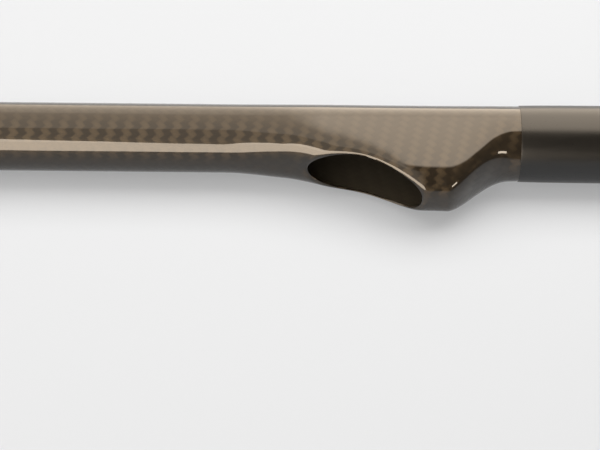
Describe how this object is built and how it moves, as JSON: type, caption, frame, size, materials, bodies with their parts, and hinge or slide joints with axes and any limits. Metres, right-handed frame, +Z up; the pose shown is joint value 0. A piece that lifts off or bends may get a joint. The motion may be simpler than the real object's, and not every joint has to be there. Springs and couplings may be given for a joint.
{
  "type": "bait throwing stick",
  "caption": "Straight carbon tube with a side-loading scoop behind its bore and a sleeved round handle; baits dropped in the mouth fly out of the muzzle when it is swung.",
  "frame": {"origin": "centre of the overall box, on the surface that the stick lies on", "axes": "+X along the stick from the muzzle to the butt, the scoop's mouth faces -Y, +Z up"},
  "size_m": [0.949, 0.048, 0.031],
  "materials": {
    "carbon_weave": "woven carbon laminate under clear gloss lacquer",
    "carbon_dark": "wound carbon laminate, satin",
    "plug": "moulded, matt",
    "shrink_sleeve": "heat-shrunk film, fine matt texture",
    "rubber": "moulded rubber, matt"
  },
  "bodies": {
    "root": {"muzzle_ring": "rubber", "throwing_tube": "carbon_weave", "joint_band": "carbon_dark", "scoop_shell": "carbon_weave", "bulkhead_plug": "plug", "tail_spigot": "carbon_dark", "handle_tube": "carbon_dark", "grip_sleeve": "shrink_sleeve", "butt_cap": "rubber"}
  },
  "joints": []
}
